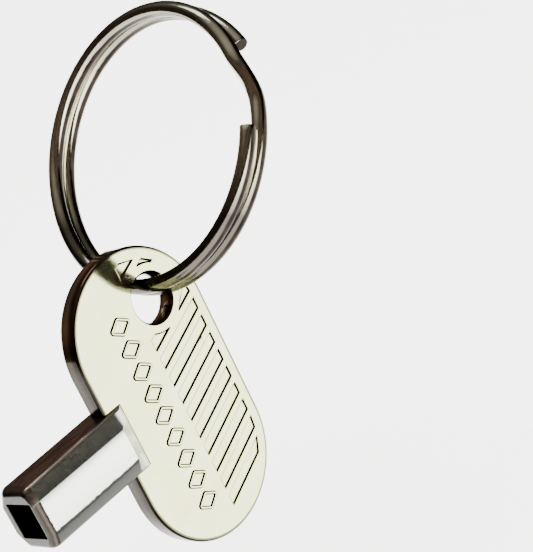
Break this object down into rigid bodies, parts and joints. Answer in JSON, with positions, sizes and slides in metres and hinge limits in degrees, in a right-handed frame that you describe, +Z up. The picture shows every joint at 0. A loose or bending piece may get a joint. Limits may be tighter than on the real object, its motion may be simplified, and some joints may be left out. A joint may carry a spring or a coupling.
{
  "type": "radiator bleed key",
  "caption": "Metal radiator bleed key: an oblong tag with a square-socket barrel on one edge, hanging from a split ring through a hole in the tag.",
  "frame": {"origin": "the hang point: the inner side of the split ring, at the middle of its two turns, at the top of the ring", "axes": "+Z up along the tag's length, from its plain end towards its hole; -Y out of the tag's front face; -X out of the mouth of the socket barrel"},
  "size_m": [0.0583, 0.042, 0.0722],
  "materials": {
    "nickel_plate": "bright nickel plate over a zinc die casting, satin and grainier on the barrel",
    "plated_spring_steel": "bright nickel plate on round spring wire"
  },
  "bodies": {
    "split_ring": {"split_ring": "plated_spring_steel"},
    "key_body": {"key_body": "nickel_plate"}
  },
  "joints": [
    {"name": "key_rock", "type": "hinge", "parent": "split_ring", "child": "key_body", "pos_m": [-0.01894, 0.0026, -0.02839], "axis": [-0.832, 0, 0.5548], "range_deg": [-40, 40]}
  ]
}
